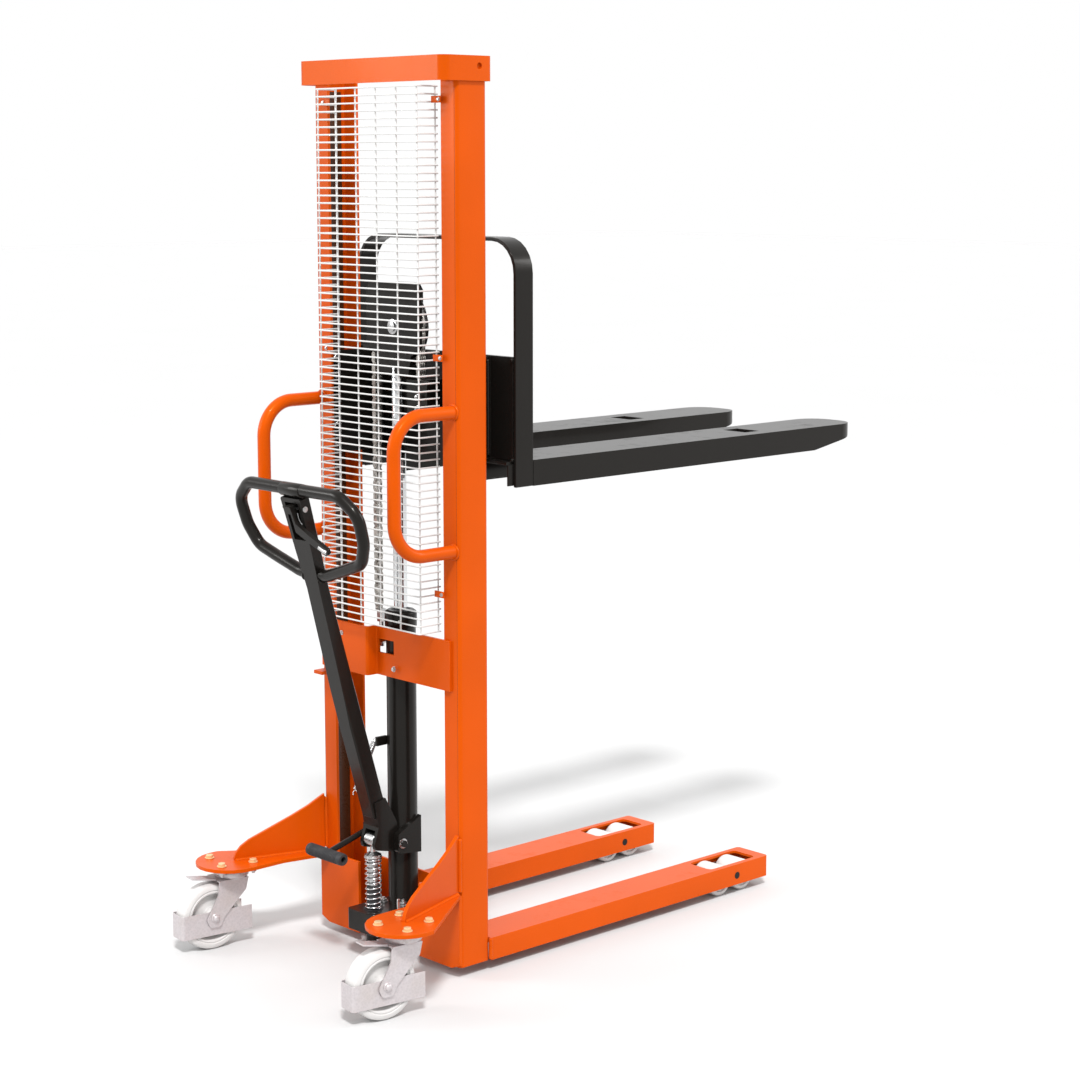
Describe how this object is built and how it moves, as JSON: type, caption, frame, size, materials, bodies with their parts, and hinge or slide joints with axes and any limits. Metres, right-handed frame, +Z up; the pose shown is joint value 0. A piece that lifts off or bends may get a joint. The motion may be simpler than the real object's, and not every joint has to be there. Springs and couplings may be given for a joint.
{
  "type": "walkie stacker",
  "caption": "Manual hydraulic stacker with straddle legs, channel mast, chain lift, fork carriage with backrest, pumping tiller and swivel castors.",
  "frame": {"origin": "on the floor, at the middle of the whole width and length", "axes": "+Z up, +Y the way the forks point, +X the operator's right"},
  "size_m": [0.7656, 1.6224, 1.958],
  "materials": {
    "orange_paint": "gloss powder coat",
    "black_paint": "satin paint",
    "zinc": "zinc plated",
    "bright_steel": "machined",
    "chrome_rod": "hard chrome",
    "mesh_wire": "white coat",
    "nylon": "moulded",
    "chain_steel": "oiled",
    "grip_rubber": "ribbed"
  },
  "bodies": {
    "chassis": {"base_cross_plate": "orange_paint", "castor_plate_left": "zinc", "castor_plate_right": "zinc", "castor_wing_left": "orange_paint", "castor_wing_right": "orange_paint", "chain_anchor_fixed": "bright_steel", "chain_fixed_strand": "chain_steel", "grab_handle_left": "orange_paint", "grab_handle_right": "orange_paint", "lift_cylinder": "black_paint", "mast_post_left": "orange_paint", "mast_post_right": "orange_paint", "mesh_guard": "mesh_wire", "mid_cross_member": "orange_paint", "pivot_bracket": "black_paint", "pump_body": "black_paint", "pump_spring": "bright_steel", "return_spring": "bright_steel", "straddle_leg_left": "orange_paint", "straddle_leg_right": "orange_paint", "top_cross_head": "orange_paint"},
    "piston": {"piston_rod": "chrome_rod", "lift_head": "black_paint"},
    "sheave": {"chain_sheave": "bright_steel"},
    "carriage": {"carriage_frame": "black_paint", "load_backrest": "black_paint", "fork_left": "black_paint", "fork_right": "black_paint", "chain_anchor_carriage": "bright_steel", "chain_carriage_strand": "chain_steel"},
    "tiller": {"tiller_base": "black_paint", "tiller_arm": "black_paint", "tiller_loop": "black_paint", "foot_pedal": "black_paint", "pedal_grip": "grip_rubber"},
    "nose": {"nose_roller": "bright_steel"},
    "plunger": {"pump_plunger": "bright_steel"},
    "lever": {"control_lever": "black_paint"},
    "release": {"release_lever": "bright_steel"},
    "mast_roller_left_lower": {"mast_roller_left_lower": "bright_steel"},
    "mast_roller_left_upper": {"mast_roller_left_upper": "bright_steel"},
    "bogie_left": {"roller_bogie_left": "bright_steel"},
    "load_roller_left_rear": {"load_roller_left_rear": "nylon"},
    "load_roller_left_front": {"load_roller_left_front": "nylon"},
    "castor_left": {"castor_fork_left": "zinc", "foot_guard_left": "zinc"},
    "castor_wheel_left": {"castor_wheel_left": "nylon"},
    "castor_brake_left": {"castor_brake_left": "zinc"},
    "mast_roller_right_lower": {"mast_roller_right_lower": "bright_steel"},
    "mast_roller_right_upper": {"mast_roller_right_upper": "bright_steel"},
    "bogie_right": {"roller_bogie_right": "bright_steel"},
    "load_roller_right_rear": {"load_roller_right_rear": "nylon"},
    "load_roller_right_front": {"load_roller_right_front": "nylon"},
    "castor_right": {"castor_fork_right": "zinc", "foot_guard_right": "zinc"},
    "castor_wheel_right": {"castor_wheel_right": "nylon"},
    "castor_brake_right": {"castor_brake_right": "zinc"}
  },
  "joints": [
    {"name": "piston_lift", "type": "slide", "parent": "chassis", "child": "piston", "axis": [0, 0, 1], "range_m": [-0.514, 0.07], "deforming": ["chain_fixed_strand"]},
    {"name": "carriage_lift", "type": "slide", "parent": "piston", "child": "carriage", "axis": [0, 0, 1], "range_m": [-0.514, 0.07], "deforming": ["chain_carriage_strand"]},
    {"name": "sheave_spin", "type": "hinge", "parent": "piston", "child": "sheave", "pos_m": [0, -0.41377, 1.395], "axis": [0, 1, 0], "range_deg": [-60, 400]},
    {"name": "tiller_pump", "type": "hinge", "parent": "chassis", "child": "tiller", "pos_m": [0, -0.45677, 0.262], "axis": [1, 0, 0], "range_deg": [0, 45], "stiffness_Nm_per_rad": 22, "springref_deg": -57.3, "deforming": ["return_spring"]},
    {"name": "nose_roller_spin", "type": "hinge", "parent": "tiller", "child": "nose", "pos_m": [0, -0.50676, 0.27205], "axis": [1, 0, 0], "continuous": true},
    {"name": "plunger_stroke", "type": "slide", "parent": "chassis", "child": "plunger", "axis": [0, 0, 1], "range_m": [-0.0405, 0], "stiffness_N_per_m": 2500, "springref_m": 0.02, "deforming": ["pump_spring"]},
    {"name": "control_lever_pull", "type": "hinge", "parent": "tiller", "child": "lever", "pos_m": [0, -0.70468, 1.0293], "axis": [1, 0, 0], "range_deg": [-12, 3], "stiffness_Nm_per_rad": 0.6},
    {"name": "release_valve_turn", "type": "hinge", "parent": "chassis", "child": "release", "pos_m": [0.0685, -0.49177, 0.094], "axis": [1, 0, 0], "range_deg": [-14, 4], "stiffness_Nm_per_rad": 0.2},
    {"name": "mast_roller_left_lower_spin", "type": "hinge", "parent": "carriage", "child": "mast_roller_left_lower", "pos_m": [-0.20975, -0.41527, 1.148], "axis": [1, 0, 0], "continuous": true},
    {"name": "mast_roller_left_upper_spin", "type": "hinge", "parent": "carriage", "child": "mast_roller_left_upper", "pos_m": [-0.20975, -0.41527, 1.298], "axis": [1, 0, 0], "continuous": true},
    {"name": "bogie_left_rock", "type": "hinge", "parent": "chassis", "child": "bogie_left", "pos_m": [-0.191, 0.42223, 0.047], "axis": [1, 0, 0], "range_deg": [-4, 4]},
    {"name": "load_roller_left_rear_spin", "type": "hinge", "parent": "bogie_left", "child": "load_roller_left_rear", "pos_m": [-0.191, 0.38323, 0.037], "axis": [1, 0, 0], "continuous": true},
    {"name": "load_roller_left_front_spin", "type": "hinge", "parent": "bogie_left", "child": "load_roller_left_front", "pos_m": [-0.191, 0.46123, 0.037], "axis": [1, 0, 0], "continuous": true},
    {"name": "castor_left_swivel", "type": "hinge", "parent": "chassis", "child": "castor_left", "pos_m": [-0.303, -0.67177, 0.168], "axis": [0, 0, 1], "continuous": true},
    {"name": "castor_wheel_left_spin", "type": "hinge", "parent": "castor_left", "child": "castor_wheel_left", "pos_m": [-0.31107, -0.72921, 0.075], "axis": [0.9903, -0.1392, 0], "continuous": true},
    {"name": "castor_brake_left_press", "type": "hinge", "parent": "castor_left", "child": "castor_brake_left", "pos_m": [-0.30982, -0.72029, 0.157], "axis": [0.9903, -0.1392, 0], "range_deg": [0, 8], "stiffness_Nm_per_rad": 2, "springref_deg": -17.19},
    {"name": "mast_roller_right_lower_spin", "type": "hinge", "parent": "carriage", "child": "mast_roller_right_lower", "pos_m": [0.20975, -0.41527, 1.148], "axis": [1, 0, 0], "continuous": true},
    {"name": "mast_roller_right_upper_spin", "type": "hinge", "parent": "carriage", "child": "mast_roller_right_upper", "pos_m": [0.20975, -0.41527, 1.298], "axis": [1, 0, 0], "continuous": true},
    {"name": "bogie_right_rock", "type": "hinge", "parent": "chassis", "child": "bogie_right", "pos_m": [0.191, 0.42223, 0.047], "axis": [1, 0, 0], "range_deg": [-4, 4]},
    {"name": "load_roller_right_rear_spin", "type": "hinge", "parent": "bogie_right", "child": "load_roller_right_rear", "pos_m": [0.191, 0.38323, 0.037], "axis": [1, 0, 0], "continuous": true},
    {"name": "load_roller_right_front_spin", "type": "hinge", "parent": "bogie_right", "child": "load_roller_right_front", "pos_m": [0.191, 0.46123, 0.037], "axis": [1, 0, 0], "continuous": true},
    {"name": "castor_right_swivel", "type": "hinge", "parent": "chassis", "child": "castor_right", "pos_m": [0.303, -0.67177, 0.168], "axis": [0, 0, 1], "continuous": true},
    {"name": "castor_wheel_right_spin", "type": "hinge", "parent": "castor_right", "child": "castor_wheel_right", "pos_m": [0.29493, -0.72921, 0.075], "axis": [0.9903, -0.1392, 0], "continuous": true},
    {"name": "castor_brake_right_press", "type": "hinge", "parent": "castor_right", "child": "castor_brake_right", "pos_m": [0.29618, -0.72029, 0.157], "axis": [0.9903, -0.1392, 0], "range_deg": [0, 8], "stiffness_Nm_per_rad": 2, "springref_deg": -17.19}
  ],
  "couplings": [
    {"joint": "carriage_lift", "follows": "piston_lift", "ratio": 1},
    {"joint": "sheave_spin", "follows": "piston_lift", "rad_per_m": -13.333},
    {"joint": "plunger_stroke", "follows": "tiller_pump", "m_per_rad": -0.051},
    {"joint": "release_valve_turn", "follows": "control_lever_pull", "ratio": 1}
  ]
}
